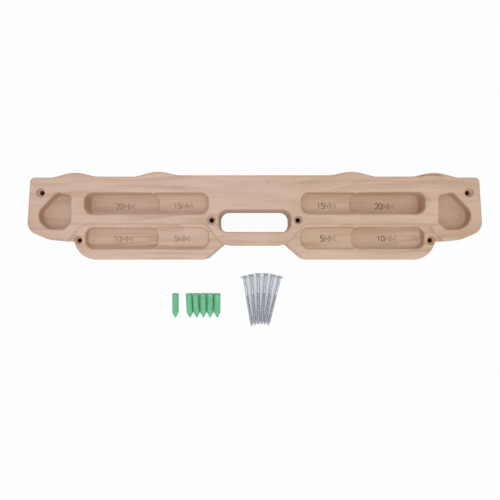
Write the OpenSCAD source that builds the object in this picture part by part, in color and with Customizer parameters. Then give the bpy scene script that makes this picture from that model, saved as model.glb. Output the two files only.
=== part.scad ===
// Wooden hangboard with its six wall screws and six wall plugs.
// The board lies on its back: +Z points out of its face, +Y towards its top edge,
// +X along its length, and the origin is on its back face, midway between the middle holes.
// The screws and plugs lie on the same level, in front of the lower edge.

/* [Board] */
// Length of the board
board_len = 600; // [590:1:660]
// Height of the board, from the wings' lower edge to the top of the inner swells
board_h = 116.2; // [112:0.2:124]
// Height of the middle screw holes above the wings' lower edge
origin_rise = 52; // [50:0.5:54]
// Thickness of the board
board_t = 40; // [32:1:48]
// How much lower the top edge is at the ends than in the middle
top_fall = 3; // [1:0.5:4]
// Radius of the rounding along the front and back edges
edge_r = 4; // [2:0.5:4.5]
// How far the wings' face lies below the board's face
wing_drop = 3; // [2:0.5:5]
// How much nearer the middle each end is at the top than at the bottom
end_lean = 4.5; // [1:0.5:8]
// Height of the middle of the lower edge above the wings' lower edge
bridge_rise = 18.8; // [14:0.2:20]
// Half the length of the bridge's lower edge
bridge_half = 44; // [38:1:46]
// Length of the slope from the bridge down to each wing
ramp_run = 21.4; // [17:0.2:22]
// Height of the notch between each wing and its end above the wings' lower edge
notch_rise = 23; // [21:0.2:25]
// Height of the ends' lower outer corners above the notches
end_corner_rise = 15.5; // [12:0.5:18]
// Distance from the notches to where the ends' lower edge starts to climb
end_bend_x = 32.8; // [28:0.2:36]
// Height of the ends' lower edge above the notches where it starts to climb
end_bend_rise = 3.3; // [2:0.1:4]
// Radius of the wings' lower outer corners
wing_r = 30; // [20:1:30]
// Wood between the long pockets and the wings' outer ends
wing_end_wall = 15.4; // [14.6:0.2:16.2]
// Wood between the lower pockets and the crease above them
crease_gap = 4; // [3:0.2:5]

/* [Top swells] */
// Height of the inner swells above the top edge
inner_swell_h = 5.4; // [3:0.2:8]
// Distance of the inner swells from the middle
inner_swell_x = 129; // [110:1:140]
// Height of the outer swells above the top edge
outer_swell_h = 5.6; // [3:0.2:8]
// Distance of the outer swells from the middle
outer_swell_x = 238; // [215:1:242]
// Half the length of each swell
swell_half = 32; // [24:1:36]

/* [Long pockets] */
// Distance of the long pockets from the middle
pocket_x = 61.2; // [58:0.2:64]
// Length of each long pocket
pocket_len = 163; // [150:1:166]
// Length of the deep outer part of each long pocket
deep_len = 95.5; // [80:0.5:120]
// Height of each long pocket's mouth
pocket_h = 28; // [24:0.5:30]
// Height of the upper pockets' lower side above the middle holes
upper_pocket_y = 8.2; // [7:0.2:10]
// Thickness of the wall between the upper and the lower pockets
shelf_t = 17.6; // [15:0.2:20]
// Radius of the long pockets' corners
pocket_r = 10.5; // [7.5:0.5:12]
// Depth of the outer part of the upper pockets
upper_deep = 20; // [17:1:24]
// Depth of the inner part of the upper pockets
upper_shallow = 15; // [12:1:16]
// Depth of the outer part of the lower pockets
lower_deep = 10; // [9:0.5:14]
// Depth of the inner part of the lower pockets
lower_shallow = 5; // [4:0.5:6]
// Radius between the walls and the floor of every pocket
floor_r = 4.5; // [2:0.5:5]
// Radius of the rounded lips of the pockets and of the slot
lip_r = 2.5; // [1:0.5:3.5]

/* [Hand slot] */
// Length of the hand slot
slot_len = 95; // [85:1:98]
// Height of the hand slot
slot_h = 29; // [24:0.5:30]
// Distance of the slot's centre below the middle holes
slot_y = 0.9; // [0:0.1:2]
// Radius of the slot's corners
slot_r = 11.5; // [6:0.5:12]

/* [End pockets] */
// Length of each end pocket
end_pocket_len = 43; // [40:0.5:46]
// Height of each end pocket
end_pocket_h = 47.4; // [44:0.2:51]
// Wood left between an end pocket and the end of the board
end_wall = 15; // [12:0.5:17]
// Height of the end pockets' centre above the middle holes
end_pocket_y = 11.7; // [10:0.1:13]
// Size of the slanted corner at the end pockets' lower inner side
end_pocket_cut = 9; // [7:0.5:12]
// Distance of the end pockets' outermost point above their lower side
end_pocket_rise = 21; // [18:1:24]
// Length of the top side of the end pockets
end_pocket_top = 18.5; // [16:0.5:21]
// Depth of the end pockets
end_pocket_deep = 12; // [9:0.5:20]

/* [Screw holes] */
// Diameter of each screw hole
hole_d = 6.2; // [5.8:0.1:7]
// Diameter of each hole's countersink
sink_d = 11.6; // [10.8:0.2:13]
// Depth of the straight wall above each countersink's cone
sink_step = 1; // [0.5:0.1:1.5]
// Distance of the upper holes from the ends of the board
upper_hole_end = 18.8; // [17:0.2:21]
// Height of the upper holes above the middle holes
upper_hole_y = 36; // [33:0.1:38]
// Distance of the middle holes from the middle of the board
middle_hole_x = 57; // [56:0.2:59]
// Distance of the lower holes from the long pockets' outer ends
lower_hole_gap = 9.2; // [8.4:0.2:9.6]
// Height of the lower holes above the wings' lower edge
lower_hole_rise = 25.5; // [24:0.5:27]

/* [Screws] */
// Length of each screw
screw_len = 75; // [60:1:90]
// Diameter of the screw's head
head_d = 10; // [9:0.5:11]
// Thickness of the head's straight rim
head_rim = 0.6; // [0.4:0.1:1]
// Diameter of the smooth part of the screw
shank_d = 3.8; // [3.4:0.1:4.2]
// Length from the top of the head to the start of the thread
shank_len = 26; // [18:1:32]
// Outer diameter of the thread
thread_d = 4.8; // [4.4:0.1:5.2]
// Diameter of the core under the thread
core_d = 3.1; // [2.8:0.1:3.3]
// Distance from one turn of the thread to the next
thread_pitch = 2.2; // [1.8:0.1:3]
// Length of the screw's point
point_len = 7; // [5:0.5:10]
// Width of the cross recess from end to end
recess_w = 5.2; // [4:0.2:6]
// Width of each bar of the cross recess
recess_bar = 1.2; // [0.8:0.1:1.6]
// Depth of the cross recess
recess_deep = 2.4; // [1.5:0.1:3]
// Distance from the board's lower edge to the foremost heads
screw_gap = 20.5; // [10:0.5:40]
// Distance of the fan's middle from the middle of the board, at the heads
fan_x = 10.8; // [-20:0.2:40]
// Clearance between the two middle heads
head_gap = 0.4; // [0.3:0.1:2]
// Clearance between neighbouring threads at the points
point_gap = 0.35; // [0.3:0.05:2]
// How far the fan's outer heads stand back from the middle ones
fan_back = 4; // [2:0.5:8]
// How far the fan's points lean to the left of its heads
fan_skew = 3; // [0:0.5:5]

/* [Wall plugs] */
// Length of each wall plug
plug_len = 34.5; // [28:0.5:45]
// Diameter of each wall plug over its fins
plug_d = 9.3; // [9.2:0.1:10]
// Diameter of the plug's bore
plug_bore = 4.4; // [4:0.1:4.8]
// Diameter of the plug between its fins
plug_waist = 9; // [8:0.1:9]
// Width of the split along the plug
plug_split = 1; // [0.6:0.1:1.4]
// Width of each fin along the plug
plug_fin = 1.2; // [0.8:0.1:1.8]
// Length of the whole collar at the plug's mouth
plug_collar = 4; // [3:0.5:7]
// Length of the plug's tapered tip
plug_tip = 7; // [5:0.5:9]
// Diameter of the plug at its very tip
plug_end_d = 1.6; // [1:0.2:3]
// Distance from the board's lower edge to the plugs' mouths
plug_y_gap = 49; // [40:0.5:80]
// Clear distance between neighbouring plugs in the row, where they are nearest
plug_gap = 0.3; // [0.3:0.1:5]
// Distance of the row's last plug from the middle of the board
plug_row_x = 53; // [45:0.5:70]
// Clear distance between the single plug and the row
plug_single_gap = 9.7; // [6:0.1:20]

/* [Hidden] */

// How far the cuts reach past the faces that they open
over = 1;

// Colours of the three materials
wood = [0.80, 0.68, 0.60];
steel = [0.74, 0.75, 0.78];
green = [0.16, 0.62, 0.40];

// Places along the board, from its middle
half_len = board_len / 2;
low_y = -origin_rise;
inner_fall = top_fall * 0.57;
middle_top_y = low_y + board_h - inner_swell_h + inner_fall / 2;
bridge_y = low_y + bridge_rise;
pocket_end = pocket_x + pocket_len;
pocket_split = pocket_end - deep_len;
lower_pocket_y = upper_pocket_y - shelf_t - pocket_h;
crease_y = upper_pocket_y - shelf_t + crease_gap;
wing_end = pocket_end + wing_end_wall;
notch_y = low_y + notch_rise;
wing_t = board_t - wing_drop;

screws = 6;
plugs = 6;

// Largest turn between two sides of an arc, and number of sides across a rounded edge
turn_step = 20;
roll_steps = 3;

function unit(v) = v / norm(v);

function flat(q) = [q[0], q[1]];

// Half the angle at corner q, between p and s
function half_angle(p, q, s) = acos(unit(flat(p) - flat(q)) * unit(flat(s) - flat(q))) / 2;

// The arc of radius r that rounds corner q, between p and s
function corner_arc(p, q, s, r) =
  r == 0 ? [flat(q)] :
  let (
    here = flat(q),
    back = unit(flat(p) - here),
    ahead = unit(flat(s) - here),
    half = half_angle(p, q, s),
    centre = here + unit(back + ahead) * r / sin(half),
    first = here + back * r / tan(half) - centre,
    left = back[0] * ahead[1] - back[1] * ahead[0] < 0,
    sweep = (left ? 1 : -1) * (180 - 2 * half),
    steps = max(1, ceil(abs(sweep) / turn_step))
  )
  [
    for (i = [0:steps])
      let (a = sweep * i / steps)
      centre + [first[0] * cos(a) - first[1] * sin(a), first[0] * sin(a) + first[1] * cos(a)]
  ];

// Most of a side that the two roundings at its ends may take, so that some of it stays straight
rounding_share = 0.96;

// A closed outline through corners [x, y, radius], anticlockwise.
// Where two roundings need more than the side between them, both get smaller in proportion.
function rounded(c) =
  let (
    n = len(c),
    before = [for (i = [0:n - 1]) c[(i + n - 1) % n]],
    after = [for (i = [0:n - 1]) c[(i + 1) % n]],
    takes = [
      for (i = [0:n - 1])
        c[i][2] == 0 ? 0 : c[i][2] / tan(half_angle(before[i], c[i], after[i]))
    ],
    room = [
      for (i = [0:n - 1])
        let (
          both = takes[i] + takes[(i + 1) % n],
          side = norm(flat(after[i]) - flat(c[i]))
        )
        both == 0 ? 1 : min(1, rounding_share * side / both)
    ]
  )
  [
    for (i = [0:n - 1])
      each corner_arc(before[i], c[i], after[i], c[i][2] * min(room[i], room[(i + n - 1) % n]))
  ];

// The outline moved outwards by d, each point along the middle of its two sides
function grown(pts, d) =
  let (n = len(pts))
  [
    for (i = [0:n - 1])
      let (
        a = unit(pts[i] - pts[(i + n - 1) % n]),
        b = unit(pts[(i + 1) % n] - pts[i]),
        na = [a[1], -a[0]],
        nb = [b[1], -b[0]]
      )
      pts[i] + (na + nb) * d / (1 + na * nb)
  ];

// Twice the area of the triangle a, b, c, positive where it runs anticlockwise
function turn(a, b, c) = (b[0] - a[0]) * (c[1] - a[1]) - (b[1] - a[1]) * (c[0] - a[0]);

// True where the corner at place k of ids can be cut off without meeting another point
function is_ear(pts, ids, k) =
  let (
    n = len(ids),
    a = pts[ids[(k + n - 1) % n]],
    b = pts[ids[k]],
    c = pts[ids[(k + 1) % n]]
  )
  turn(a, b, c) > 0 &&
  len([
    for (i = [2:n - 2])
      let (p = pts[ids[(k + i) % n]])
      if (turn(a, b, p) >= 0 && turn(b, c, p) >= 0 && turn(c, a, p) >= 0) 1
  ]) == 0;

// The first such corner from place k on, or corner k again after a whole round without one
function first_ear(pts, ids, k, tried = 0) =
  tried == len(ids) || is_ear(pts, ids, k) ? k : first_ear(pts, ids, k + 1, tried + 1);

// Triangles that fill an anticlockwise outline, each as three places in pts
function ears(pts, ids, from = 0, done = []) =
  let (n = len(ids))
  n == 3 ? concat(done, [ids]) :
  let (
    k = first_ear(pts, ids, from) % n,
    corner = [ids[(k + n - 1) % n], ids[k], ids[(k + 1) % n]],
    rest = [for (i = [0:n - 1]) if (i != k) ids[i]]
  )
  ears(pts, rest, k % (n - 1), concat(done, [corner]));

// A solid whose outline is grown by sections[i][0] at height sections[i][1], from the bottom up
module layered(pts, sections) {
  n = len(pts);
  m = len(sections);
  points = [
    for (s = sections)
      for (p = grown(pts, s[0]))
        [p[0], p[1], s[1]]
  ];
  sides = [
    for (k = [0:m - 2])
      for (i = [0:n - 1])
        let (j = (i + 1) % n, low = k * n, high = low + n)
        each [[low + i, high + i, high + j], [low + i, high + j, low + j]]
  ];
  bottom = ears(grown(pts, sections[0][0]), [for (i = [0:n - 1]) i]);
  top = [for (t = bottom) [for (i = [2:-1:0]) (m - 1) * n + t[i]]];
  polyhedron(points, concat(bottom, sides, top), convexity = 10);
}

// Sections of a slab from z = 0 to t, with both edges rounded by r
function slab_sections(t, r) =
  concat(
    [for (i = [0:roll_steps]) let (a = 90 * i / roll_steps) [r * (sin(a) - 1), r * (1 - cos(a))]],
    [for (i = [0:roll_steps]) let (a = 90 * i / roll_steps) [r * (cos(a) - 1), t - r + r * sin(a)]]
  );

// Sections of a pocket of the given depth below height t, with a rounded floor and lip
function pocket_sections(t, depth) =
  let (
    round_r = min(floor_r, depth - lip_r - 0.2),
    lip_end = 75,
    flare = lip_r * (1 - cos(lip_end)),
    rise = lip_r * sin(lip_end)
  )
  concat(
    [
      for (i = [0:roll_steps])
        let (a = 90 * i / roll_steps)
        [round_r * (sin(a) - 1), t - depth + round_r * (1 - cos(a))]
    ],
    [
      for (i = [0:roll_steps - 1])
        let (a = lip_end * i / (roll_steps - 1))
        [lip_r * (1 - cos(a)), t - lip_r + lip_r * sin(a)]
    ],
    [[flare + (lip_r - rise + over) * tan(lip_end), t + over]]
  );

// A rectangle's corners, with one radius
function rectangle(x0, x1, y0, y1, r) = [[x0, y0, r], [x1, y0, r], [x1, y1, r], [x0, y1, r]];

// Height of a swell of height h round x = mid
function swell(x, mid, h) =
  let (u = (x - mid) / swell_half)
  abs(u) < 1 ? h * (1 - u * u) * (1 - u * u) : 0;

// Share from 0 to 1 of the way over the swell round x = mid
function over_swell(x, mid) = max(0, min(1, (x - mid + swell_half) / (2 * swell_half)));

// Height of the top edge at a distance x from the middle, which falls along the swells
function top_y(x) =
  middle_top_y - inner_fall * over_swell(x, inner_swell_x)
  - (top_fall - inner_fall) * over_swell(x, outer_swell_x)
  + swell(x, inner_swell_x, inner_swell_h) + swell(x, outer_swell_x, outer_swell_h);

// The top edge over the swells, from right to left
function top_edge() =
  let (parts = 8)
  [
    for (mid = [outer_swell_x, inner_swell_x, -inner_swell_x, -outer_swell_x])
      for (i = [-parts:parts])
        let (x = mid - swell_half * i / parts)
        [x, top_y(abs(x)), 0]
  ];

// Radii of the outline's corners
small_corner = 5;
bridge_corner = 25;
ramp_corner = 10;
shoulder_corner = 20;
bend_corner = 45;
low_corner = 16;
top_corner = 6.5;

// How far the crease's upper corners stand from the wing's two ends
ramp_lead = 4.3;
shoulder_lead = 12;

// How far the corners of each end's outline stand out past its rounded outer side
end_reach = 0.7;

// How far each wing carries on under the full-thickness tier, and how far its outer end leans
tuck = 9;
wing_lean = 5.2;

// Where the end's lower edge starts to climb, and where the crease meets it past the notch
notch = [wing_end, notch_y];
bend = [wing_end + end_bend_x, notch_y + end_bend_rise];
crease_foot = notch + (bend - notch) * 0.2;

// Right half of the board's full-thickness outline, from the middle of the bridge
half_tier = [
  [bridge_half, bridge_y, bridge_corner],
  [pocket_x + ramp_lead, crease_y, ramp_corner],
  [wing_end - shoulder_lead, crease_y, shoulder_corner],
  [each crease_foot, small_corner],
  [each bend, bend_corner],
  [half_len + end_reach, notch_y + end_corner_rise, low_corner],
  [half_len + end_reach - end_lean, middle_top_y - top_fall, top_corner],
];

function mirrored_back(c) = [for (i = [len(c) - 1:-1:0]) [-c[i][0], c[i][1], c[i][2]]];

// Outline of one wing, carried on under the full-thickness tier
wing = [
  [bridge_half - ramp_run * 0.4, bridge_y + bridge_rise * 0.4, small_corner],
  [bridge_half + ramp_run, low_y, ramp_corner],
  [wing_end - wing_lean, low_y, wing_r],
  [wing_end, notch_y + 0.3, 0],
  [wing_end + tuck + 4, notch_y + 2.2, small_corner],
  [wing_end + tuck, notch_y + tuck + 4, small_corner],
  [wing_end - tuck, crease_y + tuck, small_corner],
  [pocket_x, crease_y + tuck, small_corner],
];

module blank() {
  layered(rounded(concat(half_tier, top_edge(), mirrored_back(half_tier))), slab_sections(board_t, edge_r));
  for (side = [0, 1])
    mirror([side, 0, 0])
      layered(rounded(wing), slab_sections(wing_t, edge_r));
}

// A long pocket from its deep outer part to its shallow inner part
module long_pocket(y, t, deep, shallow) {
  layered(
    rounded(rectangle(pocket_x, pocket_split + pocket_r, y, y + pocket_h, pocket_r)),
    pocket_sections(t, shallow)
  );
  layered(
    rounded(rectangle(pocket_split, pocket_end, y, y + pocket_h, pocket_r)),
    pocket_sections(t, deep)
  );
}

// The D-shaped pocket near the end of the board
module end_pocket() {
  x1 = half_len - end_wall;
  x0 = x1 - end_pocket_len;
  y0 = end_pocket_y - end_pocket_h / 2;
  y1 = end_pocket_y + end_pocket_h / 2;
  corners = [
    [x0, y0 + end_pocket_cut, 6],
    [x0 + end_pocket_cut, y0, 6],
    [x1 - 8, y0, 20],
    [x1 + 2, y0 + end_pocket_rise, 16],
    [x0 + end_pocket_top, y1 + 1, 8],
    [x0, y1 - 3, 5],
  ];
  layered(rounded(corners), pocket_sections(board_t, end_pocket_deep));
}

module hand_slot() {
  x = slot_len / 2;
  lip = pocket_sections(board_t, board_t / 2);
  front = [for (i = [roll_steps + 1:len(lip) - 1]) lip[i]];
  back = [for (i = [len(front) - 1:-1:0]) [front[i][0], board_t - front[i][1]]];
  outline = rounded(rectangle(-x, x, -slot_y - slot_h / 2, -slot_y + slot_h / 2, slot_r));
  layered(outline, concat(back, front));
}

// A countersunk hole at [x, y] whose mouth is at height t
module screw_hole(x, y, t) {
  sink = (sink_d - hole_d) / 2;
  translate([x, y, 0])
    rotate_extrude($fn = 48)
      polygon([
        [0, -over],
        [hole_d / 2, -over],
        [hole_d / 2, t - sink_step - sink],
        [sink_d / 2, t - sink_step],
        [sink_d / 2, board_t + over],
        [0, board_t + over],
      ]);
}

module board() {
  color(wood)
    difference() {
      blank();
      hand_slot();
      for (side = [0, 1])
        mirror([side, 0, 0]) {
          long_pocket(upper_pocket_y, board_t, upper_deep, upper_shallow);
          long_pocket(lower_pocket_y, wing_t, lower_deep, lower_shallow);
          end_pocket();
          screw_hole(half_len - upper_hole_end, upper_hole_y, board_t);
          screw_hole(middle_hole_x, 0, board_t);
          screw_hole(pocket_end + lower_hole_gap, low_y + lower_hole_rise, wing_t);
        }
    }
}

// Profile of the thread from the shank to the point, as ridges one pitch apart
function ridges(n) =
  [
    for (i = [0:n - 1])
      let (z = shank_len + i * thread_pitch)
      each [
        [core_d / 2, z],
        [thread_d / 2, z + 0.45 * thread_pitch],
        [thread_d / 2, z + 0.55 * thread_pitch],
      ]
  ];

ridge_count = floor((screw_len - point_len - shank_len) / thread_pitch);
last_crest = shank_len + (ridge_count - 0.45) * thread_pitch;
head_deep = head_rim + (head_d - shank_d) / 2;

// A screw along +Z, from the top of its head at z = 0
module screw_solid() {
  difference() {
    rotate_extrude($fn = 48)
      polygon(concat(
        [
          [0, 0],
          [head_d / 2, 0],
          [head_d / 2, head_rim],
          [shank_d / 2, head_deep],
          [shank_d / 2, shank_len - 1],
        ],
        ridges(ridge_count),
        [[core_d / 2, screw_len - point_len], [0, screw_len]]
      ));
    for (a = [0, 90])
      rotate([0, 0, a])
        translate([-recess_w / 2, -recess_bar / 2, -over])
          cube([recess_w, recess_bar, recess_deep + over]);
  }
}

// Each screw lies on the rim of its head and on the last full turn of its thread
screw_tilt = atan((head_d - thread_d) / 2 / (last_crest - head_rim));
screw_z = head_d / 2 * cos(screw_tilt) + head_rim * sin(screw_tilt);
head_step = head_d + head_gap;
flat_len = screw_len * cos(screw_tilt);

// Distance between neighbouring points that keeps the threads apart
thread_share = last_crest / screw_len;
point_step = (thread_d + point_gap - head_step * (1 - thread_share)) / thread_share;

module screw(i) {
  k = i - (screws - 1) / 2;
  k_max = (screws - 1) / 2;
  k_min = 0.5;
  x_head = fan_x + k * head_step;
  x_point = fan_x - fan_skew + k * point_step;
  y_head = low_y - screw_gap - fan_back * (k * k - k_min * k_min) / (k_max * k_max - k_min * k_min);
  color(steel)
    translate([x_head, y_head, screw_z])
      rotate([0, 0, asin((x_point - x_head) / flat_len)])
        rotate([90 + screw_tilt, 0, 0])
          screw_solid();
}

plug_body = plug_len - plug_tip;

// A wall plug along +Z, from its mouth at z = 0 to its tip, with two legs and two fins on each
module plug_solid() {
  difference() {
    union() {
      cylinder(h = plug_collar, d = plug_d, $fn = 48);
      cylinder(h = plug_body, d = plug_waist, $fn = 48);
      translate([0, 0, plug_body])
        cylinder(h = plug_tip, d1 = plug_waist, d2 = plug_end_d, $fn = 48);
      for (a = [45, 135])
        rotate([0, 0, a])
          translate([-plug_d / 2 + 0.1, -plug_fin / 2, plug_collar / 2])
            cube([plug_d - 0.2, plug_fin, plug_body - plug_collar / 2]);
    }
    translate([0, 0, -over])
      cylinder(h = plug_body + over, d = plug_bore, $fn = 48);
    translate([-plug_d, -plug_split / 2, plug_collar])
      cube([2 * plug_d, plug_split, plug_body - plug_collar]);
  }
}

// How far each plug is turned from square to the board, the single one first
plug_turns = [0, 3.2, 3.2, 0.6, -1.2, 0];

// How far each plug's mouth stands to the left of the row's last one
function from_last(i) =
  i == plugs - 1 ? 0 :
  let (closing = plug_body * sin(max(0, plug_turns[i] - plug_turns[i + 1])))
  from_last(i + 1) + plug_d + (i == 0 ? plug_single_gap : plug_gap + closing);

module plug(i) {
  color(green)
    translate([-plug_row_x - from_last(i), low_y - plug_y_gap, plug_d / 2])
      rotate([90, 0, plug_turns[i]])
        plug_solid();
}

board();
for (i = [0:screws - 1])
  screw(i);
for (i = [0:plugs - 1])
  plug(i);
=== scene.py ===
"""Dresses the wooden hangboard, its six screws and its six wall plugs, and lights them from above."""

import math

import bpy
import numpy as np
from mathutils import Matrix, Vector


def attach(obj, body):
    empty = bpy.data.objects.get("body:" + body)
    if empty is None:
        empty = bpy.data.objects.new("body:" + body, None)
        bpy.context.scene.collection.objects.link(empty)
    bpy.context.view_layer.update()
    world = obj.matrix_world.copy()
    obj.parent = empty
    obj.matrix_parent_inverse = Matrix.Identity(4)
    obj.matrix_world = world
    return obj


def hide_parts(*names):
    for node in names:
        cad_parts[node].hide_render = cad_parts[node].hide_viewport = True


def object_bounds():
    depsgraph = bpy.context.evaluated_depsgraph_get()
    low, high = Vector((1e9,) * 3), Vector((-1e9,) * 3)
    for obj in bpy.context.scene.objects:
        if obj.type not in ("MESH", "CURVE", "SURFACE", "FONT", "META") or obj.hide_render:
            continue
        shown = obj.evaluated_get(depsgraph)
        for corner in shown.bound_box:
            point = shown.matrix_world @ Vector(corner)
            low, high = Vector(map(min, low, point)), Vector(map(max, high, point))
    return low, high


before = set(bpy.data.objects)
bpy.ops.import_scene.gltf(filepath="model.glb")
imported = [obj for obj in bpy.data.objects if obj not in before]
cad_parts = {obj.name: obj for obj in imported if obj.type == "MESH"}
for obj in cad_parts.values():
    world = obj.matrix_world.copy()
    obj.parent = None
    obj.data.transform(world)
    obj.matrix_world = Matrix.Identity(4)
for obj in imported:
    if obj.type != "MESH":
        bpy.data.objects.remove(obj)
cad_low, cad_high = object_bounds()

MM = 0.001

# Board, in millimetres, from the middle of its back face
HALF_LEN = 300
BOARD_T = 40
WING_T = 37
LOW_Y = -52
MIDDLE_TOP_Y = 59.655
TOP_FALL = 3
INNER_FALL = 1.71
BRIDGE_HALF = 44
BRIDGE_RISE = 18.8
BRIDGE_Y = -33.2
RAMP_RUN = 21.4
CREASE_Y = -5.4
EDGE_R = 4
LIP_R = 2.5
FLOOR_R = 4.5

# Long pockets: inner end, where the deep part starts, outer end, mouth height and lower sides
POCKET_X = 61.2
POCKET_SPLIT = 128.7
POCKET_END = 224.2
POCKET_H = 28
POCKET_R = 10.5
UPPER_POCKET_Y = 8.2
LOWER_POCKET_Y = -37.4

# Depths of the long pockets' outer and inner parts, and of the end pockets
UPPER_DEEP = 20
UPPER_SHALLOW = 15
LOWER_DEEP = 10
LOWER_SHALLOW = 5
END_POCKET_DEEP = 12

# End pockets on the right: the box that they fill, slanted corner, outermost point, top side
END_POCKET_BOX = (242, 285, -12, 35.4)
END_POCKET_CUT = 9
END_POCKET_RISE = 21
END_POCKET_TOP = 18.5

# Hand slot: left, right, lower and upper side, and the radius of its corners
SLOT = (-47.5, 47.5, -15.4, 13.6, 11.5)

# Ends: where the wings stop, the notch, the bend of the lower edge and its outer corner
WING_END = 239.6
NOTCH_Y = -29
END_BEND_X = 32.8
END_BEND_RISE = 3.3
END_CORNER_RISE = 15.5
END_REACH = 0.7
END_LEAN = 4.5

# Crease above the wings: how far its ends are set off from the pocket and from the wing's end
CREASE_START = 4.3
CREASE_END = 12
FOOT_SHARE = 0.2

# Radii of the outline's corners
BRIDGE_CORNER = 25
RAMP_CORNER = 10
SHOULDER_CORNER = 20
SMALL_CORNER = 5
BEND_CORNER = 45
LOW_CORNER = 16
TOP_CORNER = 6.5
WING_CORNER = 30

# Wings: start on the ramp, inset of the lower corner, and how far they run on under the rest
RAMP_SHARE = 0.4
WING_INSET = 5.2
WING_TUCK = 9
TUCK_MORE = 4
NOTCH_LIFT = 0.3
TUCK_LIFT = 2.2

# Screw holes on the right: x, y and height of the mouth
HOLES = ((281.2, 36, BOARD_T), (57, 0, BOARD_T), (233.4, -26.5, WING_T))
HOLE_R = 3.1
SINK_R = 5.8
SINK_STEP = 1.0
BROKEN_EDGE = 0.3

# Swells on the top edge: distance from the middle, height
SWELLS = ((129, 5.4), (238, 5.6))
SWELL_HALF = 32

# Camera: straight above this point, with the picture's own focal length
CAMERA_X = -6.3
CAMERA_Y = -39.2
CAMERA_Z = 450
CAMERA_LENS = 22.51


def srgb(r, g, b):
    """Linear colour of an sRGB colour given in 0 to 255."""
    def linear(c):
        c /= 255
        return c / 12.92 if c <= 0.04045 else ((c + 0.055) / 1.055) ** 2.4
    return (linear(r), linear(g), linear(b), 1.0)


# Outlines and layered solids


# How much of a side the roundings at its two ends may take together
ROUNDING_SHARE = 0.96


def unit(v):
    return v / np.linalg.norm(v)


def half_angle(p, q, s):
    cosine = float(np.dot(unit(p[:2] - q[:2]), unit(s[:2] - q[:2])))
    return math.acos(max(-1.0, min(1.0, cosine))) / 2


def corner_arc(p, q, s, r, turn_step=5.0):
    """Points of the arc of radius r that rounds corner q, between p and s."""
    here = q[:2]
    if r == 0:
        return [here]
    back, ahead = unit(p[:2] - here), unit(s[:2] - here)
    half = half_angle(p, q, s)
    centre = here + unit(back + ahead) * r / math.sin(half)
    first = here + back * r / math.tan(half) - centre
    left = back[0] * ahead[1] - back[1] * ahead[0] < 0
    sweep = (1 if left else -1) * (math.pi - 2 * half)
    steps = max(1, math.ceil(abs(math.degrees(sweep)) / turn_step))
    points = []
    for i in range(steps + 1):
        a = sweep * i / steps
        points.append(centre + np.array([
            first[0] * math.cos(a) - first[1] * math.sin(a),
            first[0] * math.sin(a) + first[1] * math.cos(a),
        ]))
    return points


def rounded(corners):
    """A closed outline through corners (x, y, radius), anticlockwise, as the source limits them."""
    c = [np.array(q, float) for q in corners]
    n = len(c)
    takes = [q[2] / math.tan(half_angle(c[i - 1], q, c[(i + 1) % n])) for i, q in enumerate(c)]
    room = []
    for i in range(n):
        both = takes[i] + takes[(i + 1) % n]
        side = float(np.linalg.norm(c[(i + 1) % n][:2] - c[i][:2]))
        room.append(1.0 if both == 0 else min(1.0, ROUNDING_SHARE * side / both))
    points = []
    for i in range(n):
        radius = c[i][2] * min(room[i], room[i - 1])
        points += corner_arc(c[i - 1], c[i], c[(i + 1) % n], radius)
    return np.array(points)


def grown(points, d):
    """The outline moved outwards by d, each point along the middle of its two sides."""
    back = points - np.roll(points, 1, axis=0)
    back /= np.linalg.norm(back, axis=1)[:, None]
    ahead = np.roll(back, -1, axis=0)
    na = np.stack([back[:, 1], -back[:, 0]], axis=1)
    nb = np.stack([ahead[:, 1], -ahead[:, 0]], axis=1)
    share = d / (1 + np.sum(na * nb, axis=1))
    return points + (na + nb) * share[:, None]


def mesh_object(name, verts, faces):
    mesh = bpy.data.meshes.new(name)
    mesh.from_pydata([tuple(v) for v in verts], [], faces)
    mesh.update()
    obj = bpy.data.objects.new(name, mesh)
    bpy.context.scene.collection.objects.link(obj)
    return obj


def layered(name, points, sections):
    """A closed solid whose outline is grown by each section's first value at its second one."""
    n, m = len(points), len(sections)
    verts = []
    for growth, z in sections:
        for x, y in grown(points, growth):
            verts.append((x * MM, y * MM, z * MM))
    faces = [tuple(range(n - 1, -1, -1)), tuple((m - 1) * n + i for i in range(n))]
    for k in range(m - 1):
        for i in range(n):
            j = (i + 1) % n
            faces.append((k * n + i, k * n + j, (k + 1) * n + j, (k + 1) * n + i))
    return mesh_object(name, verts, faces)


def slab_sections(t, r, steps=9):
    """Sections of a slab from 0 to t with both edges rounded by r."""
    turns = [math.pi / 2 * i / steps for i in range(steps + 1)]
    lower = [(r * (math.sin(a) - 1), r * (1 - math.cos(a))) for a in turns]
    upper = [(r * (math.cos(a) - 1), t - r + r * math.sin(a)) for a in turns]
    return lower + upper


def lip_sections(t, steps=9, end=78, over=1.0):
    """The rounded lip of a cut below height t, carried on above it."""
    turns = [math.radians(end) * i / steps for i in range(steps + 1)]
    lip = [(LIP_R * (1 - math.cos(a)), t - LIP_R + LIP_R * math.sin(a)) for a in turns]
    growth, z = lip[-1]
    lip.append((growth + (t + over - z) * math.tan(math.radians(end)), t + over))
    return lip


def pocket_sections(t, depth, steps=9):
    """Sections of a pocket below height t, with a rounded floor and lip."""
    r = min(FLOOR_R, depth - LIP_R - 0.2)
    turns = [math.pi / 2 * i / steps for i in range(steps + 1)]
    floor = [(r * (math.sin(a) - 1), t - depth + r * (1 - math.cos(a))) for a in turns]
    return floor + lip_sections(t)


def rectangle(x0, x1, y0, y1, r):
    return [(x0, y0, r), (x1, y0, r), (x1, y1, r), (x0, y1, r)]


def mirrored(corners):
    return [(-x, y, r) for x, y, r in reversed(corners)]


def top_y(x):
    """Height of the top edge at a distance x from the middle."""
    y = MIDDLE_TOP_Y
    for (mid, height), fall in zip(SWELLS, (INNER_FALL, TOP_FALL - INNER_FALL)):
        u = max(-1.0, min(1.0, (x - mid) / SWELL_HALF))
        y += height * (1 - u * u) ** 2 - fall * (1 + u) / 2
    return y


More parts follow.
